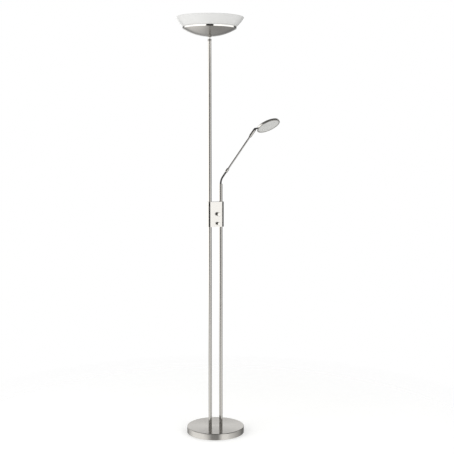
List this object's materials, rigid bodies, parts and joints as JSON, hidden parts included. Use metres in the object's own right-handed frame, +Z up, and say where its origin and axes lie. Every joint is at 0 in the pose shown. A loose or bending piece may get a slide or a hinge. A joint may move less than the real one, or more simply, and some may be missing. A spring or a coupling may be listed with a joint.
{
  "type": "torchiere floor lamp with reading light",
  "caption": "Floor lamp on a round weighted base with side-by-side poles, an uplight bowl of opal glass, and a jointed reading arm with a flat round head.",
  "frame": {"origin": "middle of the base's underside, on the floor", "axes": "+Z up; the two poles stand on the X axis, the bowl's pole at -X and the reading arm's at +X; the knobs face -Y"},
  "size_m": [0.4701, 0.291, 1.8],
  "materials": {
    "satin_nickel": "satin brushed nickel plate on steel",
    "satin_nickel_light": "satin nickel finish on aluminium",
    "polished_nickel": "polished nickel",
    "opal_glass": "opal white glass, satin",
    "opal_acrylic": "opal acrylic diffuser",
    "black_joint": "black",
    "dark_flex": "dark nickel gooseneck",
    "cast_iron": "raw casting",
    "zinc_steel": "zinc plated",
    "zinc_cast": "as cast",
    "rubber": "black rubber",
    "silicone": "grey silicone",
    "felt": "black felt",
    "circuit": "green circuit board",
    "grey_plastic": "moulded",
    "white_plastic": "moulded",
    "lead": "pale lead",
    "aluminium": "plain aluminium",
    "brass": "turned brass"
  },
  "bodies": {
    "stand": {"base_cover": "satin_nickel", "base_weight": "cast_iron", "base_plate": "zinc_steel", "base_pad": "felt", "base_screws": "zinc_steel", "cord_gland": "rubber", "foot_nipples": "zinc_steel", "foot_washers": "zinc_steel", "foot_nuts": "zinc_steel", "pole_inserts": "zinc_steel", "pole_lower_left": "satin_nickel", "pole_lower_right": "satin_nickel", "box_sleeve": "satin_nickel", "box_bottom": "zinc_cast", "box_top": "zinc_cast", "set_screws": "zinc_steel", "bowl_dimmer": "grey_plastic", "reading_dimmer": "grey_plastic", "dimmer_nuts": "zinc_steel", "dimmer_board": "circuit", "terminal_block": "white_plastic", "pole_upper": "satin_nickel", "pole_cap": "satin_nickel", "bowl_nipple": "polished_nickel", "bowl_collar": "polished_nickel", "lead_bushes": "rubber", "supply_lead": "lead", "bowl_lead": "lead", "reading_lead": "lead", "dish": "satin_nickel", "rim_ring": "polished_nickel", "bowl_gasket": "silicone", "glass_bowl": "opal_glass", "bowl_diffuser": "opal_acrylic", "bowl_nut": "zinc_steel", "heat_plate": "aluminium", "plate_spacers": "aluminium", "led_board": "aluminium", "plate_screws": "zinc_steel", "led_driver": "white_plastic", "reading_stub": "satin_nickel"},
    "bowl_knob": {"knob_upper": "satin_nickel_light", "shaft_upper": "brass"},
    "reading_knob": {"knob_lower": "satin_nickel_light", "shaft_lower": "brass"},
    "neck": {"neck_socket": "polished_nickel", "gooseneck": "dark_flex"},
    "arm": {"ferrule": "satin_nickel", "rod": "satin_nickel", "holder": "satin_nickel", "fork": "black_joint", "elbow_pin": "black_joint"},
    "elbow": {"knuckle": "black_joint"},
    "head": {"head_shell": "satin_nickel_light", "head_stem": "zinc_steel", "stem_nut": "zinc_steel", "head_bezel": "satin_nickel_light", "head_diffuser": "opal_acrylic", "head_board": "aluminium", "head_screws": "zinc_steel"}
  },
  "joints": [
    {"name": "bowl_dimmer_turn", "type": "hinge", "parent": "stand", "child": "bowl_knob", "pos_m": [0.0082, -0.013, 0.9645], "axis": [0, 1, 0], "range_deg": [0, 280]},
    {"name": "reading_dimmer_turn", "type": "hinge", "parent": "stand", "child": "reading_knob", "pos_m": [0.0082, -0.013, 0.9235], "axis": [0, 1, 0], "range_deg": [0, 280]},
    {"name": "neck_swivel", "type": "hinge", "parent": "stand", "child": "neck", "pos_m": [0.025, 0, 1.0929], "axis": [0, 0, 1], "range_deg": [-120, 120]},
    {"name": "neck_bend", "type": "hinge", "parent": "neck", "child": "arm", "pos_m": [0.025, 0, 1.11206], "axis": [0, 1, 0], "range_deg": [-15, 40], "deforming": ["gooseneck"]},
    {"name": "head_tilt", "type": "hinge", "parent": "arm", "child": "elbow", "pos_m": [0.18576, 0, 1.33172], "axis": [0, 1, 0], "range_deg": [-40, 50]},
    {"name": "head_roll", "type": "hinge", "parent": "elbow", "child": "head", "pos_m": [0.18576, 0, 1.33172], "axis": [0.969, 0, 0.247], "range_deg": [-62, 118]}
  ]
}
